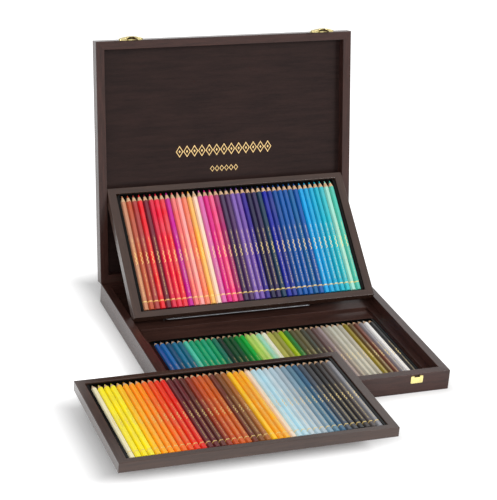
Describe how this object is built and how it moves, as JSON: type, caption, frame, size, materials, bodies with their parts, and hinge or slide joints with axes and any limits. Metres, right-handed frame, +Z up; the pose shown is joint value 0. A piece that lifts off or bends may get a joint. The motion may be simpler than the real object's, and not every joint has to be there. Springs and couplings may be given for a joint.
{
  "type": "pencil case with lift-out trays",
  "caption": "Hinged dark wood pencil case with brass latches, standing open: a leaning upper tray, a lift-out middle tray and a bottom row of coloured pencils.",
  "frame": {"origin": "centre of the underside of the case, on the surface it stands on", "axes": "+X to the right along the case front, +Y from the latches to the hinges, +Z up"},
  "size_m": [0.5009, 0.5756, 0.3731],
  "materials": {
    "case_wood": "satin varnish",
    "panel_wood": "satin varnish",
    "tray_wood": "satin varnish",
    "insert_moulding": "gloss black",
    "pencil_lacquer": "gloss lacquer",
    "pencil_core": "waxy",
    "hardware_brass": "polished",
    "wire_steel": "bright"
  },
  "bodies": {
    "case": {"case_front_wall": "case_wood", "case_rear_wall": "case_wood", "case_left_wall": "case_wood", "case_right_wall": "case_wood", "case_floor_panel": "panel_wood", "left_ledge_strip": "panel_wood", "right_ledge_strip": "panel_wood", "step_board": "panel_wood", "rear_platform": "panel_wood", "wire_tray_rest": "wire_steel", "case_insert": "insert_moulding", "case_pencil_barrels": "pencil_lacquer", "case_pencil_leads": "pencil_core", "keeper_left": "hardware_brass", "keeper_right": "hardware_brass", "keeper_nails": "hardware_brass", "hinge_base_leaf_left": "hardware_brass", "hinge_base_leaf_right": "hardware_brass", "hinge_pin_left": "hardware_brass", "hinge_pin_right": "hardware_brass", "hinge_base_screws": "hardware_brass"},
    "lid": {"lid_front_rail": "case_wood", "lid_rear_rail": "case_wood", "lid_left_rail": "case_wood", "lid_right_rail": "case_wood", "lid_panel": "panel_wood", "hinge_lid_leaf_left": "hardware_brass", "hinge_lid_leaf_right": "hardware_brass", "hinge_lid_screws": "hardware_brass", "latch_plate_left": "hardware_brass", "latch_plate_right": "hardware_brass", "latch_nails": "hardware_brass", "latch_pin_left": "hardware_brass", "latch_pin_right": "hardware_brass"},
    "latch_left": {"latch_tongue_left": "hardware_brass"},
    "latch_right": {"latch_tongue_right": "hardware_brass"},
    "middle_tray": {"middle_tray_front_rail": "tray_wood", "middle_tray_rear_rail": "tray_wood", "middle_tray_left_rail": "tray_wood", "middle_tray_right_rail": "tray_wood", "middle_tray_bottom_panel": "tray_wood", "middle_tray_insert": "insert_moulding", "middle_tray_pencil_barrels": "pencil_lacquer", "middle_tray_pencil_leads": "pencil_core"},
    "upper_tray": {"upper_tray_front_rail": "tray_wood", "upper_tray_rear_rail": "tray_wood", "upper_tray_left_rail": "tray_wood", "upper_tray_right_rail": "tray_wood", "upper_tray_bottom_panel": "tray_wood", "upper_tray_insert": "insert_moulding", "upper_tray_pencil_barrels": "pencil_lacquer", "upper_tray_pencil_leads": "pencil_core"}
  },
  "joints": [
    {"name": "lid_hinge", "type": "hinge", "parent": "case", "child": "lid", "pos_m": [0, 0.172, 0.02855], "axis": [1, 0, 0], "range_deg": [0, 102.1]},
    {"name": "latch_left_hinge", "type": "hinge", "parent": "lid", "child": "latch_left", "pos_m": [-0.1435, 0.25532, 0.3645], "axis": [-1, 0, 0], "range_deg": [0, 75]},
    {"name": "latch_right_hinge", "type": "hinge", "parent": "lid", "child": "latch_right", "pos_m": [0.1435, 0.25532, 0.3645], "axis": [-1, 0, 0], "range_deg": [0, 75]},
    {"name": "upper_tray_lift", "type": "slide", "parent": "case", "child": "upper_tray", "axis": [0, -0.9848, 0.1736], "range_m": [0, 0.531]},
    {"name": "middle_tray_lift", "type": "slide", "parent": "case", "child": "middle_tray", "axis": [0, -1, 0], "range_m": [0, 0.099]}
  ],
  "couplings": [
    {"joint": "upper_tray_lift", "follows": "lid_hinge", "m_per_rad": 0.2974},
    {"joint": "middle_tray_lift", "follows": "lid_hinge", "m_per_rad": 0.055}
  ]
}
